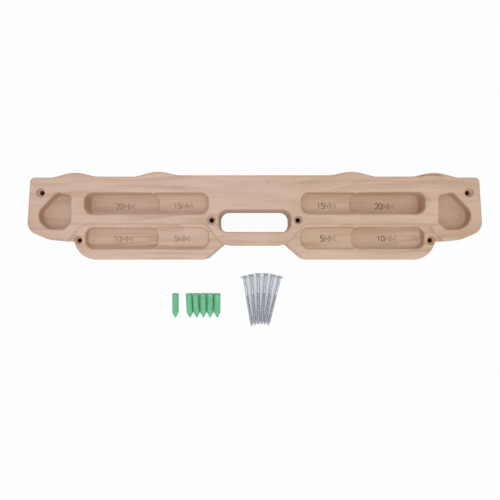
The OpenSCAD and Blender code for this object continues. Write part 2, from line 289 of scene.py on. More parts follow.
def top_edge(parts=20):
    """The top edge over its four swells, from right to left."""
    points = []
    right = [mid for mid, _ in reversed(SWELLS)]
    for mid in right + [-mid for mid in reversed(right)]:
        for i in range(-parts, parts + 1):
            x = mid - SWELL_HALF * i / parts
            points.append((x, top_y(abs(x)), 0))
    return points


def half_tier():
    """Right half of the full-thickness outline, from the middle of the bridge."""
    bend = (WING_END + END_BEND_X, NOTCH_Y + END_BEND_RISE)
    foot = (WING_END + FOOT_SHARE * END_BEND_X, NOTCH_Y + FOOT_SHARE * END_BEND_RISE)
    return [
        (BRIDGE_HALF, BRIDGE_Y, BRIDGE_CORNER),
        (POCKET_X + CREASE_START, CREASE_Y, RAMP_CORNER),
        (WING_END - CREASE_END, CREASE_Y, SHOULDER_CORNER),
        (*foot, SMALL_CORNER),
        (*bend, BEND_CORNER),
        (HALF_LEN + END_REACH, NOTCH_Y + END_CORNER_RISE, LOW_CORNER),
        (HALF_LEN + END_REACH - END_LEAN, MIDDLE_TOP_Y - TOP_FALL, TOP_CORNER),
    ]


def wing():
    """Outline of the right wing, carried on under the full-thickness tier."""
    return [
        (BRIDGE_HALF - RAMP_RUN * RAMP_SHARE, BRIDGE_Y + BRIDGE_RISE * RAMP_SHARE, SMALL_CORNER),
        (BRIDGE_HALF + RAMP_RUN, LOW_Y, RAMP_CORNER),
        (WING_END - WING_INSET, LOW_Y, WING_CORNER),
        (WING_END, NOTCH_Y + NOTCH_LIFT, 0),
        (WING_END + WING_TUCK + TUCK_MORE, NOTCH_Y + TUCK_LIFT, SMALL_CORNER),
        (WING_END + WING_TUCK, NOTCH_Y + WING_TUCK + TUCK_MORE, SMALL_CORNER),
        (WING_END - WING_TUCK, CREASE_Y + WING_TUCK, SMALL_CORNER),
        (POCKET_X, CREASE_Y + WING_TUCK, SMALL_CORNER),
    ]


def end_pocket():
    """Mouth of the right end pocket, whose last four corners lie a little off its box."""
    x0, x1, y0, y1 = END_POCKET_BOX
    return [
        (x0, y0 + END_POCKET_CUT, 6),
        (x0 + END_POCKET_CUT, y0, 6),
        (x1 - 8, y0, 20),
        (x1 + 2, y0 + END_POCKET_RISE, 16),
        (x0 + END_POCKET_TOP, y1 + 1, 8),
        (x0, y1 - 3, 5),
    ]


def sides(corners):
    """The outline of the right side, and the same one on the left."""
    return (("right", rounded(corners)), ("left", rounded(mirrored(corners))))


def tube_faces(rings, steps):
    """Faces of a tube that vertices 0 and 1 close, with its rings' vertices after them."""
    faces = []
    last = 2 + (rings - 1) * steps
    for i in range(steps):
        j = (i + 1) % steps
        faces.append((0, 2 + j, 2 + i))
        faces.append((1, last + i, last + j))
        for k in range(rings - 1):
            low, high = 2 + k * steps, 2 + (k + 1) * steps
            faces.append((low + i, low + j, high + j, high + i))
    return faces


def lathe(name, profile, centre=(0, 0), steps=72):
    """A closed solid turned round Z from (radius, z) pairs, its first and last ones on the axis."""
    cx, cy = centre
    rings = profile[1:-1]
    verts = [(cx * MM, cy * MM, profile[0][1] * MM), (cx * MM, cy * MM, profile[-1][1] * MM)]
    for radius, z in rings:
        for i in range(steps):
            a = 2 * math.pi * i / steps
            verts.append(((cx + radius * math.cos(a)) * MM, (cy + radius * math.sin(a)) * MM, z * MM))
    return mesh_object(name, verts, tube_faces(len(rings), steps))


def screw_hole(name, x, y, t):
    """A countersunk hole whose mouth is at height t, with a slightly broken edge."""
    cone = SINK_R - HOLE_R
    profile = [
        (0, -1),
        (HOLE_R, -1),
        (HOLE_R, t - SINK_STEP - cone),
        (SINK_R, t - SINK_STEP),
        (SINK_R, t - BROKEN_EDGE),
        (SINK_R + BROKEN_EDGE, t),
        (SINK_R + BROKEN_EDGE, BOARD_T + 1),
        (0, BOARD_T + 1),
    ]
    return lathe(name, profile, (x, y))


# Depth marks, burnt into the pocket floors

# Glyphs: widths of the wide ones and of the rest, height, gap, width and depth of a stroke
MARK_W = {"M": 6.6}
MARK_DIGIT_W = 4.2
MARK_H = 7.4
MARK_GAP = 1.1
MARK_STROKE = 0.95
MARK_DEEP = 0.35

# How far any part of a mark lies from its middle at most, and from its stroke's bottom and top
MARK_REACH_X = 16
MARK_REACH_Y = 6
MARK_BELOW = 0.1
MARK_ABOVE = 0.01

# How far left of its middle a mark's fading starts
MARK_LEAD = 14

# Middles of the marks on the right, then each one's word, x, y and floor height
DEEP_MARK_X = 178
SHALLOW_MARK_X = 97.4
UPPER_MARK_Y = 20.8
LOWER_MARK_Y = -24
MARKS = (
    ("20MM", DEEP_MARK_X, UPPER_MARK_Y, BOARD_T - UPPER_DEEP),
    ("15MM", SHALLOW_MARK_X, UPPER_MARK_Y, BOARD_T - UPPER_SHALLOW),
    ("10MM", DEEP_MARK_X, LOWER_MARK_Y, WING_T - LOWER_DEEP),
    ("5MM", SHALLOW_MARK_X, LOWER_MARK_Y, WING_T - LOWER_SHALLOW),
)


def arc(cx, cy, rx, ry, start, end, steps=14):
    turns = [math.radians(start + (end - start) * i / steps) for i in range(steps + 1)]
    return [(cx + rx * math.cos(a), cy + ry * math.sin(a)) for a in turns]


# Each glyph is one stroke in a box one unit wide and high
GLYPHS = {
    "0": arc(0.5, 0.5, 0.5, 0.5, 0, 360, 28)[:-1],
    "1": [(0.15, 0.74), (0.55, 1.0), (0.55, 0.0)],
    "2": arc(0.5, 0.69, 0.46, 0.31, 165, -35) + [(0.04, 0.0), (1.0, 0.0)],
    "5": [(0.92, 1.0), (0.16, 1.0), (0.1, 0.56)] + arc(0.46, 0.33, 0.5, 0.33, 110, -145),
    "M": [(0.0, 0.0), (0.0, 1.0), (0.5, 0.28), (1.0, 1.0), (1.0, 0.0)],
}
CLOSED_GLYPHS = ("0",)

# Keeps the outer corners of a stroke's sharp bends from running out far
MITER_LEAST = 0.45


def ribbon(line, width, closed):
    """Left and right edges of a stroke of that width along a line."""
    p = np.array(line, float)
    n = len(p)
    left, right = [], []
    for i in range(n):
        before = p[i - 1] if closed or i > 0 else p[0] * 2 - p[1]
        after = p[(i + 1) % n] if closed or i < n - 1 else p[-1] * 2 - p[-2]
        a, b = unit(p[i] - before), unit(after - p[i])
        na, nb = np.array([-a[1], a[0]]), np.array([-b[1], b[0]])
        miter = (na + nb) / max(MITER_LEAST, 1 + float(np.dot(na, nb)))
        left.append(p[i] + miter * width / 2)
        right.append(p[i] - miter * width / 2)
    return left, right


def stroke_solid(name, line, width, closed, z0, z1):
    """A closed bar along a line, from height z0 to z1."""
    left, right = ribbon(line, width, closed)
    n = len(left)
    verts = []
    for z in (z0, z1):
        for edge in (left, right):
            verts += [(x * MM, y * MM, z * MM) for x, y in edge]
    faces = []
    for i in range(n if closed else n - 1):
        j = (i + 1) % n
        faces.append((i, j, n + j, n + i))
        faces.append((2 * n + j, 2 * n + i, 3 * n + i, 3 * n + j))
        faces.append((j, i, 2 * n + i, 2 * n + j))
        faces.append((n + i, n + j, 3 * n + j, 3 * n + i))
    if not closed:
        faces.append((0, n, 3 * n, 2 * n))
        faces.append((2 * n - 1, n - 1, 3 * n - 1, 4 * n - 1))
    return mesh_object(name, verts, faces)


def mark_cutters(word, x, y, z):
    """One cutter for each glyph of a mark centred at x, y on a floor at height z."""
    cutters = []
    widths = [MARK_W.get(glyph, MARK_DIGIT_W) for glyph in word]
    x0 = x - (sum(widths) + MARK_GAP * (len(word) - 1)) / 2
    for k, (glyph, wide) in enumerate(zip(word, widths)):
        line = [(x0 + u * wide, y + (v - 0.5) * MARK_H) for u, v in GLYPHS[glyph]]
        x0 += wide + MARK_GAP
        name = f"cut_mark_{word}_{k}"
        closed = glyph in CLOSED_GLYPHS
        cutters.append(stroke_solid(name, line, MARK_STROKE, closed, z - MARK_DEEP, z + 1))
    return cutters


# The board's solids


def combine(base, others, operation):
    """Adds one boolean for each of the other solids."""
    for other in others:
        cut = base.modifiers.new(other.name, "BOOLEAN")
        cut.operation = operation
        cut.solver = "MANIFOLD"
        cut.object = other


def settle(obj, helpers):
    """Turns an object's modifiers into its mesh, and removes the solids that they used."""
    graph = bpy.context.evaluated_depsgraph_get()
    mesh = bpy.data.meshes.new_from_object(obj.evaluated_get(graph))
    obj.modifiers.clear()
    obj.data = mesh
    for helper in helpers:
        bpy.data.objects.remove(helper)


# Edges sharper than this stay sharp, in degrees
WOOD_SHARP = 32
STEEL_SHARP = 38
NYLON_SHARP = 30


def smooth_faces(obj, sharp):
    """Smooth shading, apart from edges sharper than that angle, with flat faces kept flat."""
    obj.data.shade_smooth()
    obj.data.set_sharp_from_angle(angle=math.radians(sharp))
    weighted = obj.modifiers.new("flat faces", "WEIGHTED_NORMAL")
    weighted.keep_sharp = True
    weighted.weight = 80


def board_cutters():
    """Everything that is cut out of the board: pockets, hand slot, screw holes and depth marks."""
    cutters = []
    levels = (
        ("upper", UPPER_POCKET_Y, BOARD_T, UPPER_DEEP, UPPER_SHALLOW),
        ("lower", LOWER_POCKET_Y, WING_T, LOWER_DEEP, LOWER_SHALLOW),
    )
    for level, y, t, deep, shallow in levels:
        parts = (
            ("shallow", POCKET_X, POCKET_SPLIT + POCKET_R, shallow),
            ("deep", POCKET_SPLIT, POCKET_END, deep),
        )
        for part, x0, x1, depth in parts:
            for side, points in sides(rectangle(x0, x1, y, y + POCKET_H, POCKET_R)):
                name = f"cut_{level}_{part}_{side}"
                cutters.append(layered(name, points, pocket_sections(t, depth)))
    for side, points in sides(end_pocket()):
        sections = pocket_sections(BOARD_T, END_POCKET_DEEP)
        cutters.append(layered(f"cut_end_{side}", points, sections))
    front = lip_sections(BOARD_T)
    back = [(growth, BOARD_T - z) for growth, z in reversed(front)]
    cutters.append(layered("cut_slot", rounded(rectangle(*SLOT)), back + front))
    for k, (x, y, t) in enumerate(HOLES):
        for sign in (1, -1):
            cutters.append(screw_hole(f"cut_hole_{k}", sign * x, y, t))
    for word, x, y, z in MARKS:
        for sign in (1, -1):
            cutters += mark_cutters(word, sign * x, y, z)
    return cutters


def in_mark(x, y, z):
    """Whether a place, in millimetres, lies in the strokes of a depth mark."""
    for _, mark_x, mark_y, floor in MARKS:
        near = abs(abs(x) - mark_x) < MARK_REACH_X and abs(y - mark_y) < MARK_REACH_Y
        if near and floor - MARK_DEEP - MARK_BELOW < z < floor - MARK_ABOVE:
            return True
    return False


def make_board(wood, burnt):
    """The board: its outline kept within the frame's box, the wings joined on, all cuts taken out."""
    outline = rounded(half_tier() + top_edge() + mirrored(half_tier()))
    for axis in (0, 1):
        outline[:, axis] = outline[:, axis].clip(cad_low[axis] / MM, cad_high[axis] / MM)
    board = layered("board_wood", outline, slab_sections(BOARD_T, EDGE_R))
    wings = [layered(f"wing_{s}", points, slab_sections(WING_T, EDGE_R)) for s, points in sides(wing())]
    cutters = board_cutters()
    combine(board, wings, "UNION")
    combine(board, cutters, "DIFFERENCE")
    settle(board, wings + cutters)
    board.data.materials.clear()
    board.data.materials.append(wood)
    board.data.materials.append(burnt)
    for face in board.data.polygons:
        face.material_index = int(in_mark(*(face.center / MM)))
    smooth_faces(board, WOOD_SHARP)
    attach(board, "board")
    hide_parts("board")


# Materials


class Graph:
    """A material's node tree, with short ways to add to it."""

    def __init__(self, name):
        self.material = bpy.data.materials.new(name)
        self.material.use_nodes = True
        self.tree = self.material.node_tree
        self.shader = self.tree.nodes["Principled BSDF"]
        self.output = self.tree.nodes["Material Output"]

    def link(self, value, socket):
        if isinstance(value, bpy.types.NodeSocket):
            self.tree.links.new(value, socket)
        else:
            socket.default_value = value

    def node(self, kind, settings=None, **inputs):
        node = self.tree.nodes.new(kind)
        for key, value in (settings or {}).items():
            setattr(node, key, value)
        for key, value in inputs.items():
            self.link(value, node.inputs[key.replace("_", " ")])
        return node

    def place(self):
        return self.node("ShaderNodeTexCoord").outputs["Object"]

    def axes(self, vector):
        """The vector's x, y and z."""
        return self.node("ShaderNodeSeparateXYZ", Vector=vector).outputs

    def math(self, operation, *values):
        node = self.tree.nodes.new("ShaderNodeMath")
        node.operation = operation
        for k, value in enumerate(values):
            self.link(value, node.inputs[k])
        return node.outputs[0]

    def product(self, first, *others):
        for other in others:
            first = self.math("MULTIPLY", first, other)
        return first

    def length(self, a, b):
        """Length of the vector whose parts are a and b."""
        return self.math("SQRT", self.math("ADD", self.product(a, a), self.product(b, b)))

    def swayed(self, value, noise, reach):
        """value moved to either side by up to half of reach, as the noise says."""
        return self.math("ADD", value, self.product(self.math("SUBTRACT", noise, 0.5), reach))

    def stretched(self, vector, scale, shift=(0, 0, 0)):
        node = self.node("ShaderNodeMapping", Vector=vector, Scale=scale, Location=shift)
        return node.outputs[0]

    def noise(self, vector, scale, detail, rough=0.5):
        inputs = {"Vector": vector, "Scale": scale, "Detail": detail, "Roughness": rough}
        return self.node("ShaderNodeTexNoise", **inputs).outputs["Fac"]

    def between(self, value, low, high, to_low=0.0, to_high=1.0):
        """value's share of the way from low to high, smoothed, as a number from to_low to to_high."""
        node = self.tree.nodes.new("ShaderNodeMapRange")
        node.interpolation_type = "SMOOTHSTEP"
        for k, v in enumerate((value, low, high, to_low, to_high)):
            self.link(v, node.inputs[k])
        return node.outputs[0]

    def inside(self, x, y, x_edges, y_edges):
        """1 inside two soft edges in x and two in y, 0 outside them."""
        return self.product(
            self.between(x, *x_edges[0]), self.between(x, *x_edges[1], 1.0, 0.0),
            self.between(y, *y_edges[0]), self.between(y, *y_edges[1], 1.0, 0.0),
        )

    def mix(self, share, a, b):
        node = self.tree.nodes.new("ShaderNodeMix")
        node.data_type = "RGBA"
        self.link(share, node.inputs[0])
        self.link(a, node.inputs[6])
        self.link(b, node.inputs[7])
        return node.outputs[2]

    def bump(self, height, distance, strength):
        node = self.node("ShaderNodeBump", Height=height, Distance=distance, Strength=strength)
        self.link(node.outputs[0], self.shader.inputs["Normal"])


# The wood's tones, from its palest parts to the painted shadow inside its holes; the pale one also
# paints light on the lower edge, the deep brown also paints shade in the pockets
WOOD_PALE_AND_HIGHLIGHT = srgb(220, 193, 174)
WOOD_PINK = srgb(213, 182, 164)
WOOD_TAN = srgb(205, 175, 149)
WOOD_STREAK = srgb(170, 132, 104)
WOOD_FLECK = srgb(158, 120, 94)
WOOD_BROWN_AND_SHADE = srgb(150, 108, 80)
PAINTED_HOLE_SHADOW = srgb(52, 36, 26)

# Rings: where the tree's axis runs, how far the rings wander across and up, their spacing, in mm
AXIS_Y = 14.0
AXIS_Z = -58.0
SWAY_Y = 30.0
SWAY_Z = 20.0
RING_SPACING = 4.6

# Share of darker wood in rings, streaks, fibres and pores, and on end grain, where it is darkest
RING_DARK = 0.40
STREAK_DARK = 0.42
FIBRE_DARK = 0.34
PORE_DARK = 0.5
END_GRAIN_DARK = 0.35

# Share of painted shade in the end pockets, on their walls, in the countersinks, the holes and the
# lower pockets
END_POCKET_SHADE = 0.24
END_WALL_SHADE = 0.16
SINK_SHADE = 0.30
HOLE_SHADE = 0.85
LOWER_POCKET_SHADE = 0.14

# Soft edges of these places, in metres: where each one starts and where it ends
HOLE_EDGE = (0.0032, 0.0036)
SINK_EDGE = (0.0061, 0.0064)
END_X_EDGES = ((0.2360, 0.2390), (0.2875, 0.2895))
END_Y_EDGES = ((-0.0160, -0.0145), (0.0400, 0.0415))
LOW_X_EDGES = ((0.0602, 0.0612), (0.2232, 0.2262))
LOW_Y_EDGES = ((-0.0374, -0.0364), (-0.0104, -0.0094))

# Heights between which the painted shade in the end and the lower pockets grows downwards, in metres
END_DEPTHS = (0.0285, 0.0400)
LOW_DEPTHS = (0.0270, 0.0365)

# Depths below their mouths between which the painted shade in the holes and the countersinks sets in,
# in mm
HOLE_DEPTHS = (5.2, 3.4)
SINK_DEPTHS = (1.2, 0.2)


def ring_distance(g, place):
    """Distance from the tree's own axis, in millimetres, waved by slow noise along the grain."""
    _, y, z = g.axes(place)
    wave = g.noise(g.stretched(place, (6.0, 16.0, 16.0)), 1.0, 2.0, 0.45)
    sway = g.noise(g.stretched(place, (3.2, 9.0, 9.0), (4.0, 1.0, 2.0)), 1.0, 1.0, 0.5)
    y = g.swayed(g.math("MULTIPLY_ADD", y, 1000.0, -AXIS_Y), sway, SWAY_Y)
    z = g.swayed(g.math("MULTIPLY_ADD", z, 1000.0, -AXIS_Z), wave, SWAY_Z)
    return g.length(y, z)


def ring_bands(g, place):
    """0 in the early wood, rising to 1 at the late wood's hard edge, once for each ring."""
    share = g.math("FRACT", g.math("DIVIDE", ring_distance(g, place), RING_SPACING))
    return g.product(g.between(share, 0.25, 0.92), g.between(share, 0.93, 1.0, 1.0, 0.0))


def tan_side(g, place):
    """0 on the pinkish left of the board, 1 right of a slanted line near its middle."""
    x, y, _ = g.axes(place)
    slant = g.math("SUBTRACT", x, g.product(y, 0.65))
    waved = g.noise(g.stretched(place, (8.0, 30.0, 30.0), (3.0, 8.0, 2.0)), 1.0, 2.0)
    return g.between(g.swayed(slant, waved, 0.03), 0.028, 0.040)


def hole_distance(g, place, k):
    """Distance from the axis of the hole k, on either side of the board."""
    x, y, _ = g.axes(place)
    dx = g.math("SUBTRACT", g.math("ABSOLUTE", x), HOLES[k][0] * MM)
    dy = g.math("SUBTRACT", y, HOLES[k][1] * MM)
    return g.length(dx, dy)


def around_holes(g, place, edge, depths):
    """1 inside that edge round each hole's axis and below its mouth by those depths, 0 elsewhere."""
    z = g.axes(place)[2]
    shade = 0.0
    for k, (_, _, top) in enumerate(HOLES):
        near = g.between(hole_distance(g, place, k), *edge, 1.0, 0.0)
        deep = g.between(z, (top - depths[0]) * MM, (top - depths[1]) * MM, 1.0, 0.0)
        shade = g.math("MAXIMUM", shade, g.product(near, deep))
    return shade


def pocket_shade(g, place):
    """How much painted shade the end pockets, their walls, the lower pockets and the countersinks get.
    """
    x, y, z = g.axes(place)
    x = g.math("ABSOLUTE", x)
    up = g.axes(g.node("ShaderNodeNewGeometry").outputs["True Normal"])[2]
    deep = g.between(z, *END_DEPTHS, END_POCKET_SHADE, 0.0)
    wall = g.between(up, 0.25, 0.95, END_WALL_SHADE, 0.0)
    end = g.product(g.inside(x, y, END_X_EDGES, END_Y_EDGES), g.math("ADD", deep, wall))
    low = g.between(z, *LOW_DEPTHS, LOWER_POCKET_SHADE, 0.0)
    low = g.product(low, g.inside(x, y, LOW_X_EDGES, LOW_Y_EDGES))
    sink = g.product(around_holes(g, place, SINK_EDGE, SINK_DEPTHS), SINK_SHADE)
    return g.math("MAXIMUM", g.math("MAXIMUM", end, low), sink)


def swell_streak(g, place):
    """1 on a short dark streak that follows the top of the right outer swell."""
    middle_x, middle_y, half, bend = 0.231, 0.0592, 0.019, -0.0022
    x, y, _ = g.axes(place)
    u = g.math("DIVIDE", g.math("SUBTRACT", x, middle_x), half)
    line_y = g.product(g.product(u, u), bend)
    off = g.math("ABSOLUTE", g.math("SUBTRACT", g.math("SUBTRACT", y, middle_y), line_y))
    thick = g.product(g.noise(place, 400.0, 2.0), 0.0012)
    line = g.between(g.math("SUBTRACT", off, thick), 0.0001, 0.0011, 1.0, 0.0)
    return g.product(line, g.between(g.math("ABSOLUTE", u), 0.6, 1.0, 1.0, 0.0))


def small_knot(g, place):
    """1 at a small knot above the hand slot, falling to 0 round it."""
    middle_x, middle_y, stretch = 0.0172, 0.0498, 2.4
    x, y, _ = g.axes(place)
    dx = g.math("DIVIDE", g.math("SUBTRACT", x, middle_x), stretch)
    off = g.length(dx, g.math("SUBTRACT", y, middle_y))
    off = g.math("ADD", off, g.product(g.noise(place, 300.0, 2.0), 0.0008))
    return g.between(off, 0.0006, 0.0024, 1.0, 0.0)


def figure_strength(g, place):
    """How strong rings and streaks are: weak above the hand slot, strongest on the wings."""
    plain_x, plain, wings = -0.015, 0.35, 1.5
    x, y, _ = g.axes(place)
    off = g.math("ABSOLUTE", g.math("SUBTRACT", x, plain_x))
    above_slot = g.product(g.between(off, 0.040, 0.110, 1.0, 0.0), g.between(y, 0.004, 0.020))
    strength = g.between(above_slot, 0.0, 1.0, 1.0, plain)
    return g.product(strength, g.between(y, -0.030, -0.014, wings, 1.0))


def base_colour(g, place):
    """Slow changes between pinkish, tan and paler wood."""
    cloud = g.noise(g.stretched(place, (5.0, 11.0, 11.0), (2.0, 5.0, 1.0)), 1.0, 2.0)
    tone = g.product(g.between(cloud, 0.35, 0.65), 0.45)
    tone = g.math("ADD", tone, g.product(tan_side(g, place), 0.55))
    colour = g.mix(tone, WOOD_PINK, WOOD_TAN)
    pale = g.between(g.noise(g.stretched(place, (9.0, 60.0, 60.0)), 1.0, 3.0), 0.42, 0.7)
    return g.mix(g.product(pale, 0.6), colour, WOOD_PALE_AND_HIGHLIGHT)


def grained(g, place, colour, fibre):
    """The colour with its rings, streaks, fibres and pores."""
    figure = figure_strength(g, place)
    patchy = g.noise(g.stretched(place, (7.0, 24.0, 24.0), (7.0, 3.0, 9.0)), 1.0, 2.0)
    strength = g.product(g.between(patchy, 0.3, 0.66, 0.0, RING_DARK), figure)
    colour = g.mix(g.product(ring_bands(g, place), strength), colour, WOOD_STREAK)
    streak = g.noise(g.stretched(place, (10.0, 170.0, 170.0), (5.0, 2.0, 6.0)), 1.0, 3.0, 0.55)
    streak = g.product(g.between(streak, 0.50, 0.76, 0.0, STREAK_DARK), figure)
    colour = g.mix(streak, colour, WOOD_STREAK)
    colour = g.mix(g.between(fibre, 0.45, 0.8, 0.0, FIBRE_DARK), colour, WOOD_STREAK)
    pore = g.noise(g.stretched(place, (160.0, 1500.0, 1500.0), (1.0, 7.0, 3.0)), 1.0, 1.0)
    return g.mix(g.between(pore, 0.68, 0.78, 0.0, PORE_DARK), colour, WOOD_FLECK)


def placed_tones(g, place, colour):
    """The colour with what sits at one place: streak, knot, painted light on the paler lower edge,
    painted shade in the pockets and holes.
    """
    colour = g.mix(g.product(swell_streak(g, place), 0.6), colour, WOOD_BROWN_AND_SHADE)
    colour = g.mix(g.product(small_knot(g, place), 0.4), colour, WOOD_STREAK)
    # Painted light: the lower edge is made paler, as if lit from below.
    lower_edge_light = g.between(g.axes(place)[1], -0.045, -0.038, 0.45, 0.0)
    colour = g.mix(lower_edge_light, colour, WOOD_PALE_AND_HIGHLIGHT)
    # Painted shade in the end pockets, the lower pockets and the countersinks.
    colour = g.mix(pocket_shade(g, place), colour, WOOD_BROWN_AND_SHADE)
    # Painted shadow inside the screw holes.
    hole = g.product(around_holes(g, place, HOLE_EDGE, HOLE_DEPTHS), HOLE_SHADE)
    return g.mix(hole, colour, PAINTED_HOLE_SHADOW)


def wood_material():
    """Pale sanded hardwood."""
    g = Graph("beech")
    place = g.place()
    fibre = g.noise(g.stretched(place, (26.0, 900.0, 900.0)), 1.0, 4.0, 0.6)
    colour = placed_tones(g, place, grained(g, place, base_colour(g, place), fibre))
    across = g.math("ABSOLUTE", g.axes(g.node("ShaderNodeNewGeometry").outputs["True Normal"])[0])
    colour = g.mix(g.between(across, 0.55, 0.98, 0.0, END_GRAIN_DARK), colour, WOOD_STREAK)
    g.link(colour, g.shader.inputs["Base Color"])
    g.link(g.between(fibre, 0.3, 0.7, 0.5, 0.66), g.shader.inputs["Roughness"])
    g.shader.inputs["Specular IOR Level"].default_value = 0.3
    grit = g.noise(g.stretched(place, (300.0, 1800.0, 1800.0)), 1.0, 2.0)
    g.bump(g.math("ADD", fibre, g.product(grit, 0.5)), 0.00012, 0.7)
    return g.material


def burn_fade(g, place):
    """How faint the marks are: rising along each one on the right, even on the left."""
    x = g.axes(place)[0]
    step = (DEEP_MARK_X - SHALLOW_MARK_X) * MM
    start = (SHALLOW_MARK_X - MARK_LEAD) * MM
    along = g.math("FRACT", g.math("DIVIDE", g.math("SUBTRACT", x, start), step))
    return g.between(x, -0.001, 0.001, 0.95, g.between(along, 0.08, 0.30))


def burnt_material():
    """Wood browned by the burnt marks."""
    g = Graph("burnt")
    place = g.place()
    soot = g.noise(place, 900.0, 3.0, 0.6)
    dark = g.mix(g.between(soot, 0.3, 0.7), srgb(58, 36, 24), srgb(92, 62, 44))
    colour = g.mix(g.product(burn_fade(g, place), 0.9), dark, srgb(172, 134, 106))
    g.link(colour, g.shader.inputs["Base Color"])
    g.link(g.between(soot, 0.3, 0.7, 0.6, 0.85), g.shader.inputs["Roughness"])
    g.bump(soot, 0.0001, 0.6)
    return g.material


def steel_material():
    """Bright zinc plating, with painted shade darkening the thread roots and fine marks from the
    roller.
    """
    g = Graph("zinc_steel")
    place = g.place()
    cloud = g.noise(place, 260.0, 3.0, 0.6)
    colour = g.mix(g.between(cloud, 0.3, 0.7), srgb(168, 173, 181), srgb(194, 200, 208))
    # Painted shade: the thread roots are darkened by their depth.
    root = g.node("ShaderNodeAttribute", {"attribute_name": "root"}).outputs["Fac"]
    colour = g.mix(g.product(root, 0.22), colour, srgb(96, 95, 104))
    g.link(colour, g.shader.inputs["Base Color"])
    g.shader.inputs["Metallic"].default_value = 0.85
    scratch = g.noise(g.stretched(place, (2500.0, 2500.0, 90.0)), 1.0, 2.0)
    g.link(g.between(scratch, 0.3, 0.7, 0.26, 0.42), g.shader.inputs["Roughness"])
    g.bump(scratch, 0.00003, 0.5)
    return g.material


def nylon_material():
    """Green moulded nylon, a little cloudy."""
    g = Graph("green_nylon")
    place = g.place()
    cloud = g.noise(place, 220.0, 3.0, 0.55)
    colour = g.mix(g.between(cloud, 0.3, 0.7), srgb(96, 184, 136), srgb(120, 200, 154))
    g.link(colour, g.shader.inputs["Base Color"])
    grain = g.noise(place, 2600.0, 2.0)
    g.link(g.between(grain, 0.3, 0.7, 0.36, 0.5), g.shader.inputs["Roughness"])
    g.shader.inputs["Subsurface Weight"].default_value = 0.12
    g.shader.inputs["Subsurface Radius"].default_value = (0.6, 1.0, 0.7)
    g.shader.inputs["Subsurface Scale"].default_value = 0.002
    g.bump(grain, 0.00002, 0.5)
    return g.material


# Screws and wall plugs


# How much of each end of a lying piece is measured to tell its wide end, in metres
END_SLICE = 0.0005


def lying_axes(node):
    """Matrix of a lying piece: +Z along it from its wide end, +Y upwards, at its wide end's middle."""
    co = np.array([v.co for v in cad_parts[node].data.vertices])
    middle = co.mean(axis=0)
    _, _, directions = np.linalg.svd(co - middle, full_matrices=False)
    along = directions[0]
    reach = (co - middle) @ along
    off = np.linalg.norm((co - middle) - np.outer(reach, along), axis=1)
    near_high = off[reach > reach.max() - END_SLICE].max()
    near_low = off[reach < reach.min() + END_SLICE].max()
    if near_high > near_low:
        along, reach = -along, -reach
    start = middle + along * reach.min()
    z = Vector(along).normalized()
    x = Vector((0, 0, 1)).cross(z).normalized()
    y = z.cross(x)
    axes = Matrix((x, y, z)).transposed().to_4x4()
    axes.translation = Vector(start)
    return axes


# Screws, in millimetres from the top of the head
SCREW_LEN = 75
HEAD_R = 5
HEAD_RIM = 0.6
HEAD_DEEP = 3.7
SHANK_R = 1.9
SHANK_LEN = 26
THREAD_R = 2.4
CORE_R = 1.55
THREAD_PITCH = 2.2
POINT_LEN = 7

# Thread: turns over which it rises, length over which it falls, bare tip in front of that,
# half width of a crest in pitches, how blunt the crest is, and the core's least share at the point
RISE_TURNS = 1.2
FALL_LEN = 5.5
BARE_TIP = 0.8
CREST_HALF = 0.24
CREST_BLUNT = 1.25
POINT_LEAST = 0.06

# Cross recess: reach and half width of its bars, depth, share of the reach left at its bottom
RECESS_REACH = 2.6
RECESS_HALF = 0.62
RECESS_DEEP = 2.4
RECESS_NARROW = 0.42


def thread_radius(z, turn):
    """Radius of the threaded part at height z and turn (in whole turns), and how deep its root is."""
    core = CORE_R * min(1.0, max(POINT_LEAST, (SCREW_LEN - z) / POINT_LEN))
    start = min(1.0, max(0.0, (z - SHANK_LEN) / (RISE_TURNS * THREAD_PITCH)))
    end = min(1.0, max(0.0, (SCREW_LEN - BARE_TIP - z) / FALL_LEN))
    crest = (THREAD_R - CORE_R) * start * end ** 0.7
    if z < SHANK_LEN + THREAD_PITCH:
        blend = max(0.0, (z - SHANK_LEN) / THREAD_PITCH)
        core = SHANK_R + (core - SHANK_R) * blend
        crest = max(0.0, crest - (core - CORE_R))
    phase = (z / THREAD_PITCH - turn) % 1.0
    rise = max(0.0, 1.0 - abs(phase - 0.5) / CREST_HALF)
    height = min(1.0, rise * CREST_BLUNT)
    return core + crest * height, start * (1.0 - height)


def screw_profile():
    """Radii of the head and the smooth shank from the top down, as (radius, z)."""
    bevel = 0.15
    return [
        (HEAD_R - bevel, 0.0),
        (HEAD_R, bevel),
        (HEAD_R, HEAD_RIM),
        (SHANK_R + 0.55, HEAD_DEEP - 0.6),
        (SHANK_R + 0.12, HEAD_DEEP - 0.05),
        (SHANK_R, HEAD_DEEP + 0.6),
        (SHANK_R, SHANK_LEN - 2.0),
    ]


def screw_mesh(steps=40, rise=0.18):
    """A countersunk wood screw along +Z with a real helical thread, its head's top at z = 0."""
    rings, roots = [], []
    for radius, z in screw_profile():
        rings.append([(radius, z)] * steps)
        roots.append([0.0] * steps)
    z = SHANK_LEN - 1.0
    while z < SCREW_LEN - 0.25:
        pairs = [thread_radius(z, i / steps) for i in range(steps)]
        rings.append([(radius, z) for radius, _ in pairs])
        roots.append([root for _, root in pairs])
        z += rise
    verts = [(0, 0, 0), (0, 0, SCREW_LEN * MM)]
    values = [0.0, 0.0]
    for ring, root in zip(rings, roots):
        for i, (radius, height) in enumerate(ring):
            a = 2 * math.pi * i / steps
            verts.append((radius * math.cos(a) * MM, radius * math.sin(a) * MM, height * MM))
            values.append(root[i])
    screw = mesh_object("screw", verts, tube_faces(len(rings), steps))
    # Root depth, from which the steel paints shade into the thread roots.
    attribute = screw.data.attributes.new("root", "FLOAT", "POINT")
    attribute.data.foreach_set("value", values)
    return screw


